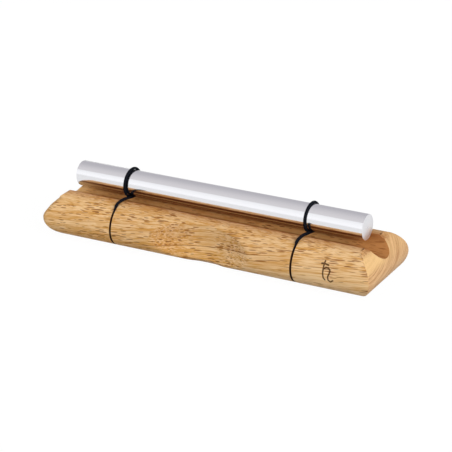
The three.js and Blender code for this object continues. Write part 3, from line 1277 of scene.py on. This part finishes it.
    def _ease_mitres(self, block: bpy.types.Object) -> None:
        """Rounds the four mitres and the two ridges at the top of each end, the left front mitre the most.

        Args:
            block: The blank.
        """
        def in_mitre(first: Vector, second: Vector) -> bool:
            """Tells whether an edge is part of a mitre or a ridge.

            Args:
                first: One end of the edge.
                second: The other end.

            Returns:
                Whether it is.
            """
            if abs(first.x - second.x) > self.length / 2:
                return False
            if abs(first.y - second.y) < self.mitre_reach:
                return abs(first.z - second.z) > SAME
            level = min(abs(first.z - self.corner_height), abs(first.z - self.height))
            return level < SAME and abs(first.z - second.z) < SAME

        def left_front(first: Vector, second: Vector) -> bool:
            """Tells whether an edge is part of the left mitre on the player's side, below the ridge."""
            below = max(first.z, second.z) < self.corner_height + SAME
            return below and max(first.x, first.y, second.y) < 0 and in_mitre(first, second)

        def others(first: Vector, second: Vector) -> bool:
            """Tells whether an edge is part of another mitre or of a ridge."""
            return max(first.x, first.y, second.y) > 0 and in_mitre(first, second)

        with editing(block, "EDGE"):
            select_edges(block, left_front)
            bpy.ops.mesh.bevel(offset=self.eased_corner, segments=self.eased_corner_steps, profile=0.5)
            select_edges(block, others)
            bpy.ops.mesh.bevel(offset=self.eased_edge, segments=self.eased_edge_steps, profile=0.5)

    def _draw_columns(self, block: bpy.types.Object) -> None:
        """Divides the long sides into fine columns.

        Args:
            block: The blank.
        """
        with editing(block, "EDGE"):
            select_edges(block, lambda first, second: abs(first.x - second.x) > self.length / 2)
            bpy.ops.mesh.subdivide(number_cuts=self.columns)

    def _sand_left_mouth(self, block: bpy.types.Object) -> None:
        """Sands the left end in round and behind the groove's mouth, and a little below the ridges.

        Args:
            block: The block with its groove.
        """
        start, full = self.length * self.sanding_start_share, self.length * self.sanding_full_share
        floor = self.height - self.groove_depth - self.groove_clearance
        for vertex in block.data.vertices:
            x, y, z = vertex.co
            drop = self.height - z
            if abs(y) < self.groove_radius and z > floor:
                mouth = smooth_step(y, *self.sanded_floor)
            else:
                mouth = smooth_step(drop, *self.sanded_rear_drop) if y > self.groove_radius else 0.0
            below = smooth_step(drop, *self.sanded_end_drop)
            low = below * (1 - smooth_step(drop, *self.unsanded_end_drop))
            sanding = max(self.mouth_sanding * mouth, self.end_sanding * low)
            vertex.co.x += smooth_step(-x, start, full) * sanding

    def _scoop(self, block: bpy.types.Object) -> None:
        """Presses the sides in to the walls of the finger scoops, with a softly sanded edge.

        Args:
            block: The blank, divided into columns.
        """
        for vertex in block.data.vertices:
            x, y, height = vertex.co
            if abs(x) > self.length * self.scoop_zone_share or height <= 0 or height >= self.height:
                continue
            wall = self.scoop_width(x, height)
            share = min(max(0.5 + (wall - abs(y)) / (2 * self.scoop_edge), 0.0), 1.0)
            soft = wall * (1 - share) + abs(y) * share - self.scoop_edge * share * (1 - share)
            vertex.co.y = math.copysign(soft, y)

    def _groove_cutter(self) -> bpy.types.Object:
        """Makes the bar that leaves the groove and its round lips.

        Returns:
            The cutter.
        """
        lip_width, lip_height = self.lip_centre
        centre_height, step = self.groove_centre_height, self.arc_step
        lip_angle = math.atan2(centre_height - lip_height, lip_width)
        lip = arc(self.lip_centre, self.groove_lip_radius, math.pi / 2, math.pi - lip_angle, step)
        floor = arc((0.0, centre_height), self.groove_radius, -lip_angle, -math.pi / 2, step)
        half = [(lip_width, self.height + self.overrun), *lip, *floor[1:]]
        outline = half + [(-y, z) for y, z in reversed(half[:-1])]
        reach = self.length / 2 + self.overrun
        return bar_along_x("groove_cutter", outline, -reach, reach)

    def kerf_floor_offset(self, angle: float) -> float:
        """Returns how high the floor of a kerf lies over the side at an angle."""
        depth_share = smooth_step(math.pi - angle, self.kerf_run_out_angle, self.kerf_full_angle)
        return self.kerf_run_out_rise - (self.kerf_depth + self.kerf_run_out_rise) * depth_share

    def _kerf_outline(self) -> Outline:
        """Draws the saw cut round the base, open at the top.

        Returns:
            The outline of the wood that is cut away, in (y, z).
        """
        end = math.pi - self.kerf_run_out_angle
        angles = [end * number / self.kerf_steps for number in range(self.kerf_steps + 1)]
        half = [self.side_point(angle, self.kerf_floor_offset(angle)) for angle in angles]
        half.append((self.side_top_width, self.height + self.overrun))
        span = self.width / 2 + self.overrun
        left = [(-y, z) for y, z in half]
        outside = [(-span, self.height + self.overrun), (-span, -self.overrun), (span, -self.overrun)]
        return [*left, *outside, (span, self.height + self.overrun), *reversed(half)]

    def _pocket_cutter(self, x: float) -> bpy.types.Object:
        """Makes the drill for the pocket of a knot.

        Args:
            x: Place of the kerf.

        Returns:
            The cutter.
        """
        depth = self.pocket_depth + self.overrun
        deselect_all()
        bpy.ops.mesh.primitive_cylinder_add(
            vertices=self.drill_sides, radius=self.pocket_diameter / 2, depth=depth,
            location=(x, 0, self.pocket_depth - depth / 2),
        )
        drill = named("pocket_cutter")
        settle(drill)
        return drill


@dataclass(frozen=True)
class ChimeRod:
    """The aluminium rod, turned and faced, with a chamfer and a lathe centre's mark at each end."""

    diameter: float = 12.7 * MM
    length: float = 157.5 * MM
    axis_height: float = 28.5 * MM
    chamfer: float = 0.45 * MM
    mark_diameter: float = 0.9 * MM
    mark_depth: float = 0.3 * MM
    mark_taper_share: float = 0.4
    sides: int = 144
    chamfer_steps: int = 2
    end_facing: float = 0.99
    crease_angle: float = math.radians(30)

    def build(self) -> bpy.types.Object:
        """Turns and faces the rod.

        Returns:
            The finished rod.
        """
        def rim(first: Vector, second: Vector) -> bool:
            """Tells whether an edge lies on the rim of an end, from its two ends."""
            return abs(abs(first.x) - self.length / 2) < SAME and abs(first.x - second.x) < SAME

        deselect_all()
        bpy.ops.mesh.primitive_cylinder_add(
            vertices=self.sides, radius=self.diameter / 2, depth=self.length,
            location=(0, 0, self.axis_height), rotation=(0, math.pi / 2, 0),
        )
        rod = named("rod_aluminium_bar")
        settle(rod)
        with editing(rod, "EDGE"):
            select_edges(rod, rim)
            bpy.ops.mesh.bevel(offset=self.chamfer, segments=self.chamfer_steps, profile=0.5)
        with editing(rod, "FACE"):
            select_faces(rod, lambda normal: abs(normal.x) > self.end_facing)
            bpy.ops.mesh.inset(thickness=(self.diameter - self.mark_diameter) / 2 - self.chamfer)
            bpy.ops.mesh.inset(thickness=self.mark_diameter * self.mark_taper_share, depth=-self.mark_depth)
        smooth(rod, self.crease_angle)
        return rod


class Side(Enum):
    """Which cord: the left or the right one, seen by the player."""

    LEFT = -1
    RIGHT = 1


class Flank(Enum):
    """Which side of the rod: the player's or the far one."""

    FRONT = -1
    REAR = 1


@dataclass(frozen=True)
class Station:
    """A place on a cord, with the direction and size of its oval section."""

    point: Vector
    up: Vector
    half_width: float
    half_height: float


@dataclass(frozen=True)
class ElasticCord:
    """One elastic cord, knotted below and led round the base and the rod, in pieces of which all but the
    two spans follow the base or the slings.
    """

    side: Side
    base: BaseBlock
    rod: ChimeRod
    diameter: float = 1.5 * MM
    stretched_diameter: float = 1.34 * MM
    gap: float = 0.04 * MM
    side_gap: float = 0.2 * MM
    lead_angle: float = math.radians(4)
    first_pass_offset: float = 1.1 * MM
    second_pass_offset: float = -0.8 * MM
    span_length: float = 1 * MM
    low_wrap: float = 1.4 * MM
    knot_core_radius: float = 2.24 * MM
    knot_twist_radius: float = 1.1 * MM
    knot_height: float = 2.25 * MM
    knot_laps: int = 2
    knot_twists: int = 3
    around: int = 20
    underside_shares: tuple[float, ...] = (0.0, 0.33, 0.67)
    run_steps: int = 90
    lip_steps: int = 6
    strand_steps: int = 10
    turn_steps: int = 120
    knot_steps: int = 120
    crease_angle: float = math.radians(50)
    uv_name = "cord_length"

    @property
    def x(self) -> float:
        """Place of the cord's kerf along the base."""
        return self.side.value * self.base.kerf_spacing / 2

    @property
    def ride(self) -> float:
        """Distance from the wood or metal to the middle of the cord."""
        return self.diameter / 2 + self.gap

    @property
    def lip_path_radius(self) -> float:
        """Radius of the cord's path over the lip of the groove."""
        return self.base.groove_lip_radius + self.ride

    @property
    def turn_path_radius(self) -> float:
        """Radius of the cord's path round the rod."""
        return self.rod.diameter / 2 + self.stretched_diameter / 2 + self.gap

    @property
    def strand_slope(self) -> float:
        """Slope of the straight strand that touches both the lip's path and the turn's path.

        Returns:
            The angle below the horizon on the way to the rod.
        """
        width, drop = self.base.lip_centre[0], self.rod.axis_height - self.base.lip_centre[1]
        reach = math.asin((self.lip_path_radius + self.turn_path_radius) / math.hypot(width, drop))
        return reach - math.atan2(drop, width)

    @property
    def strand_end(self) -> Point:
        """Where the strand meets the turn, in (width, height)."""
        radius, slope = self.turn_path_radius, self.strand_slope
        return radius * math.sin(slope), self.rod.axis_height - radius * math.cos(slope)

    def cord_offset(self, angle: float) -> float:
        """Measures how high the middle of the cord lies over the side.

        Args:
            angle: 0 where the side faces down, pi where it faces up.

        Returns:
            The distance, below zero inside the kerf.
        """
        start = self.base.kerf_run_out_angle + self.lead_angle
        end = self.base.kerf_full_angle + self.lead_angle
        return self.ride - self.base.kerf_depth * smooth_step(math.pi - angle, start, end)

    def squeezed(self, offset: float) -> float:
        """Measures the cord where the kerf squeezes it.

        Args:
            offset: Distance of the cord's middle over the wood.

        Returns:
            Half the width that the kerf leaves it.
        """
        flat, full = self.base.kerf_width / 2 - self.side_gap, self.diameter / 2
        if offset <= 0:
            return flat
        sunk = 1 - min(offset / full, 1.0) ** 2
        return min(full, flat / math.sqrt(sunk)) if sunk > 0 else full

    def pass_offset(self, flank: Flank) -> float:
        """Returns how far sideways from its kerf the cord passes under the rod."""
        return self.first_pass_offset if flank is Flank.FRONT else self.second_pass_offset

    def strand_point(self, flank: Flank, offset: float, width: float, height: float) -> Vector:
        """Places a point of the cord, which drifts sideways on its way to the rod.

        Args:
            flank: The side of the rod.
            offset: How far sideways the cord has drifted under the rod.
            width: Distance from the rod's axis, across the base.
            height: Height over the table.

        Returns:
            The point.
        """
        far = self.base.side_point(math.pi - self.base.kerf_run_out_angle)[0]
        near = self.strand_end[0]
        share = min(max((far - width) / (far - near), 0.0), 1.0)
        return Vector((self.x + offset * share, flank.value * width, height))

    def _round(self, point: Vector, up: Vector, stretch: float = 0.0) -> Station:
        """Returns a station with a round section, thinner where the cord is stretched."""
        radius = (self.diameter + (self.stretched_diameter - self.diameter) * stretch) / 2
        return Station(point, up, radius, radius)

    def run_stations(self, flank: Flank) -> list[Station]:
        """Leads the cord from the knot along the underside, round the side in its kerf and onto the top.

        Args:
            flank: The side of the rod.

        Returns:
            The stations of the run.
        """
        stations = []
        start, low = self.base.pocket_diameter / 2, self.cord_offset(0.0)
        for share in self.underside_shares:
            width = start + (self.base.side_foot_width - start) * share
            point = Vector((self.x, flank.value * width, -low))
            stations.append(Station(point, Vector((0, 0, -1)), self.squeezed(low), self.diameter / 2))
        for number in range(self.run_steps + 1):
            angle = math.pi * number / self.run_steps
            offset = self.cord_offset(angle)
            out, up = self.base.side_normal(angle)
            drift = self.pass_offset(flank) if angle > math.pi / 2 else 0.0
            point = self.strand_point(flank, drift, *self.base.side_point(angle, offset))
            facing = Vector((0, flank.value * out, up))
            stations.append(Station(point, facing, self.squeezed(offset), self.diameter / 2))
        stations.append(self._round(self.span_start(flank), Vector((0, 0, 1))))
        return stations

    def span_start(self, flank: Flank) -> Vector:
        """Returns the place on top of the base where a run passes into a span."""
        width = self.base.lip_centre[0] + self.span_length
        return self.strand_point(flank, self.pass_offset(flank), width, self.base.height + self.ride)

    def span_stations(self, flank: Flank) -> list[Station]:
        """Leads the cord from the top of the base over the lip and down to the underside of the rod.

        Args:
            flank: The side of the rod.

        Returns:
            The stations of the span.
        """
        lip_width, lip_height = self.base.lip_centre
        offset, up = self.pass_offset(flank), Vector((0, 0, 1))
        stations = [self._round(self.span_start(flank), up)]
        for number in range(self.lip_steps + 1):
            turned = self.strand_slope * number / self.lip_steps
            width = lip_width - self.lip_path_radius * math.sin(turned)
            height = lip_height + self.lip_path_radius * math.cos(turned)
            stations.append(self._round(self.strand_point(flank, offset, width, height), up))
        lip_end = stations[-1].point
        rod_end = self.strand_point(flank, offset, *self.strand_end)
        for number in range(1, self.strand_steps + 1):
            share = number / self.strand_steps
            stations.append(self._round(lip_end.lerp(rod_end, share), up, share))
        return stations

    def turn_stations(self) -> list[Station]:
        """Leads the cord once round the rod, in under it from the front and out to the rear.

        Returns:
            The stations of the turn.
        """
        stations = []
        start, end = -self.strand_slope, math.tau + self.strand_slope
        pitch = self.second_pass_offset - self.first_pass_offset
        for number in range(self.turn_steps + 1):
            share = number / self.turn_steps
            angle = start + (end - start) * share
            out = Vector((0, math.sin(angle), -math.cos(angle)))
            point = out * self.turn_path_radius
            point.x = self.x + self.first_pass_offset + pitch * share
            point.z += self.rod.axis_height
            stations.append(self._round(point, out, 1.0))
        return stations

    def knot_stations(self) -> list[Station]:
        """Ties the knot: the cord goes twice round a ring and is twisted three times about it.

        Returns:
            The stations of the knot, of which the last is the first again.
        """
        stations = []
        for number in range(self.knot_steps + 1):
            share = number / self.knot_steps
            around, twist = self.knot_laps * math.tau * share, self.knot_twists * math.tau * share
            outward = Vector((math.cos(around), math.sin(around), 0))
            up = outward * math.cos(twist) + Vector((0, 0, math.sin(twist)))
            point = outward * self.knot_core_radius + up * self.knot_twist_radius
            stations.append(self._round(point + Vector((self.x, 0, self.knot_height)), up))
        return stations

    @staticmethod
    def lengths(stations: Sequence[Station]) -> list[float]:
        """Returns the length of cord from the first station to each one."""
        steps = [(second.point - first.point).length for first, second in zip(stations, stations[1:])]
        return list(accumulate(steps, initial=0.0))

    def tube(
        self, name: str, stations: Sequence[Station], started: float, closed: bool = False,
    ) -> bpy.types.Object:
        """Rolls a grid into a tube along a row of stations.

        Args:
            name: The piece's name.
            stations: The places that it passes.
            started: Length of cord before this piece, so that the braid runs on.
            closed: Whether the last station is the first again.

        Returns:
            The closed tube.
        """
        deselect_all()
        bpy.ops.mesh.primitive_grid_add(
            x_subdivisions=len(stations) - 1, y_subdivisions=self.around, size=1, calc_uvs=True,
        )
        tube = named(name)
        # The grid spans one unit about its middle, with a row of vertices for each station
        last = len(stations) - 1
        rows = [(round((vertex.co.x + 0.5) * last), vertex.co.y + 0.5) for vertex in tube.data.vertices]
        for vertex, (ring, share) in zip(tube.data.vertices, rows):
            station = stations[ring]
            if closed:
                before, after = stations[(ring - 1) % last], stations[(ring + 1) % last]
            else:
                before, after = stations[max(ring - 1, 0)], stations[min(ring + 1, last)]
            along = (after.point - before.point).normalized()
            across = station.up.cross(along).normalized()
            out = across * station.half_width * math.cos(math.tau * share)
            up = along.cross(across) * station.half_height * math.sin(math.tau * share)
            vertex.co = station.point + out + up
        lengths = self.lengths(stations)
        layer = tube.data.uv_layers.active
        layer.name = self.uv_name
        for loop in tube.data.loops:
            ring, share = rows[loop.vertex_index]
            layer.data[loop.index].uv = (started + lengths[ring], share * math.pi * self.diameter)
        with editing(tube):
            weld(SAME)
            if not closed:
                bpy.ops.mesh.select_all(action="SELECT")
                bpy.ops.mesh.fill_holes(sides=0)
            turn_outward()
        smooth(tube, self.crease_angle)
        return tube

    def build(self, material: bpy.types.Material) -> None:
        """Makes every piece of the cord and dresses it, and hands each piece but the two spans to the body
        that it follows.

        Args:
            material: The cords' finish.
        """
        prefix = self.side.name.lower()
        length = 0.0

        def add(part: str, stations: Sequence[Station], closed: bool = False) -> bpy.types.Object:
            """Makes one piece, which stands for the CAD node of the same part.

            Args:
                part: The name that the piece and the node share.
                stations: The places that it passes.
                closed: Whether the last station is the first again.

            Returns:
                The dressed piece.
            """
            nonlocal length
            piece = self.tube(f"{prefix}_elastic_{part}", stations, length, closed)
            length += self.lengths(stations)[-1]
            dress(piece, material, "elastic_cord", f"{prefix}_cord_{part}")
            return piece

        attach(add("knot", self.knot_stations(), closed=True), "base")
        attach(add("front_run", self.run_stations(Flank.FRONT)), "base")
        self._blend(add("front_span", self.span_stations(Flank.FRONT)), Flank.FRONT)
        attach(add("turn", self.turn_stations()), "slings")
        self._blend(add("rear_span", list(reversed(self.span_stations(Flank.REAR)))), Flank.REAR)
        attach(add("rear_run", list(reversed(self.run_stations(Flank.REAR)))), "base")

    def _blend(self, piece: bpy.types.Object, flank: Flank) -> None:
        """Bakes a span's place into its mesh.

        Args:
            piece: The span.
            flank: The side of the rod.
        """
        width, height = self.base.lip_centre[0], self.base.height + self.ride
        start = (self.x, flank.value * width, height)
        end = (self.x, flank.value * (self.strand_end[0] + self.low_wrap), height)
        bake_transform(piece)


def dress(piece: bpy.types.Object, material: bpy.types.Material, slot: str, *nodes: str) -> None:
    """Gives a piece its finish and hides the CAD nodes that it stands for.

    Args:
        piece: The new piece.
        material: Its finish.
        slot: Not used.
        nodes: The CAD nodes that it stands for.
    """
    piece.data.materials.clear()
    piece.data.materials.append(material)
    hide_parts(*nodes)
    log.info("%s: %d faces, for %s", piece.name, len(piece.data.polygons), ", ".join(nodes))


# Studio

def direction(azimuth: float, elevation: float) -> Vector:
    """Returns the way toward a far place: azimuth 0 on the player's side and a quarter turn at +X."""
    level = math.cos(elevation)
    return Vector((math.sin(azimuth) * level, -math.cos(azimuth) * level, math.sin(elevation)))


@dataclass(frozen=True)
class Lamp:
    """A soft far lamp. Power is the light on a surface facing it, and spread is how wide it appears."""

    name: str
    azimuth: float
    elevation: float
    power: float
    spread: float
    mirrored: bool

    def build(self) -> None:
        """Hangs the lamp. Polished metal shows it only if it is mirrored."""
        deselect_all()
        bpy.ops.object.light_add(type="SUN")
        lamp = bpy.context.object
        lamp.name = self.name
        lamp.data.energy = self.power
        lamp.data.angle = self.spread
        toward = direction(self.azimuth, self.elevation)
        lamp.rotation_euler = toward.to_track_quat("Z", "Y").to_euler()
        lamp.visible_glossy = self.mirrored


@dataclass(frozen=True)
class Studio:
    """White floor, a softly lit room, two lamps and the camera."""

    azimuth: float = math.radians(29.26)
    elevation: float = math.radians(23.13)
    roll: float = math.radians(-1.13)
    distance: float = 935.42 * MM
    target: tuple[float, float, float] = (3.06 * MM, 0.0, 14.81 * MM)
    lens: float = 153.18
    sensor: float = 36.0
    clip_end: float = 50.0
    lamps: tuple[Lamp, ...] = (
        Lamp("side_lamp", math.radians(68), math.radians(32), 2.4, math.radians(40), mirrored=True),
        Lamp("front_lamp", math.radians(-20), math.radians(17), 0.76, math.radians(40), mirrored=False),
    )
    floor_size: float = 8.0
    floor_drop: float = 0.02 * MM
    floor_matt: Colour = (0.38, 0.38, 0.38, 1.0)
    floor_glow: float = 1.08
    floor_seen_share: float = 0.9
    floor_mirror_glow: float = 0.95
    floor_mirror_share: float = 0.85
    white: Colour = (1.0, 1.0, 1.0, 1.0)
    ambient: Colour = (0.46, 0.46, 0.46, 1.0)
    ceiling: Colour = shade(189, 187, 192)
    ceiling_front: Colour = shade(220, 217, 219)
    front_low: Colour = (0.96, 0.965, 0.975, 1.0)
    front_high: Colour = (1.06, 1.06, 1.07, 1.0)
    ceiling_change: Change = Change(-60.0, 36.0)
    front_rise: Change = Change(40.0, 78.0)
    front_fall: Change = Change(96.0, 82.0)
    front_edge: Change = Change(37.5, 39.5)

    def build(self) -> None:
        """Makes the floor, the room, the lamps and the camera."""
        self._floor()
        self._room()
        for lamp in self.lamps:
            lamp.build()
        self._camera()

    def _camera(self) -> None:
        """Places the camera at the photograph's viewing angle."""
        back = direction(self.azimuth, self.elevation)
        right = Vector((math.cos(self.azimuth), math.sin(self.azimuth), 0))
        up = back.cross(right)
        turned_right = right * math.cos(self.roll) + up * math.sin(self.roll)
        turned_up = up * math.cos(self.roll) - right * math.sin(self.roll)
        data = bpy.data.cameras.new("camera")
        data.lens = self.lens
        data.sensor_width = self.sensor
        data.clip_end = self.clip_end
        camera = bpy.data.objects.new("camera", data)
        bpy.context.scene.collection.objects.link(camera)
        place = Matrix((turned_right, turned_up, back)).transposed().to_4x4()
        place.translation = Vector(self.target) + back * self.distance
        camera.matrix_world = place
        bpy.context.scene.camera = camera

    def _floor(self) -> None:
        """Lays a white floor that keeps a faint shadow of the part."""
        deselect_all()
        bpy.ops.mesh.primitive_plane_add(size=self.floor_size, location=(0, 0, -self.floor_drop))
        floor = named("floor")
        settle(floor)
        material, graph = new_material("white_floor")
        seen, mirrored = graph.rays()
        matt = graph.wire("ShaderNodeBsdfDiffuse", values={"Color": self.floor_matt})
        bright, mirror_bright = (
            graph.wire("ShaderNodeEmission", values={"Color": self.white, "Strength": glow})
            for glow in (self.floor_glow, self.floor_mirror_glow)
        )
        surface = graph.blend(seen * self.floor_seen_share, matt, bright)
        surface = graph.blend(mirrored * self.floor_mirror_share, surface, mirror_bright)
        graph.node("ShaderNodeOutputMaterial", values={"Surface": surface})
        floor.data.materials.append(material)

    def _room(self) -> None:
        """Lights the part evenly, and shows polished metal a grey ceiling and a bright front."""
        scene = bpy.context.scene
        scene.world = bpy.data.worlds.new("room")
        scene.world.use_nodes = True
        graph = Graph(scene.world.node_tree)
        _, forward, upward = graph.split(graph.wire("ShaderNodeTexCoord", output="Generated"))
        lean = graph.math("ARCTAN2", -forward, upward) * math.degrees(1)
        overhead = graph.mix(self.ceiling_change.over(lean), self.ceiling, self.ceiling_front)
        brightness = self.front_rise.over(lean) * self.front_fall.over(lean)
        front = graph.mix(brightness, self.front_low, self.front_high)
        shown = graph.mix(self.front_edge.over(lean), overhead, front)
        room, mirror, white = (
            graph.wire("ShaderNodeBackground", values={"Color": colour, "Strength": 1.0})
            for colour in (self.ambient, shown, self.white)
        )
        seen, mirrored = graph.rays()
        surface = graph.blend(seen, graph.blend(mirrored, room, mirror), white)
        graph.node("ShaderNodeOutputWorld", values={"Surface": surface})


def main() -> None:
    """Builds and dresses every piece, then the studio."""
    logging.basicConfig(level=logging.INFO, format="%(name)s: %(message)s")
    bpy.context.scene.view_settings.view_transform = "Standard"

    base = BaseBlock()
    block = base.build()
    finish = HardwoodFinish(kerf_place=base.kerf_spacing / 2 / MM)
    dress(block, finish.material(), "base_wood", "base_block")
    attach(block, "base")

    rod = ChimeRod()
    bar = rod.build()
    dress(bar, TurnedAluminiumFinish().material(), "rod_aluminium", "chime_rod")
    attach(bar, "rod")

    elastic = BraidedElasticFinish().material()
    for side in Side:
        ElasticCord(side, base, rod).build(elastic)

    Studio().build()


if __name__ == "__main__":
    main()
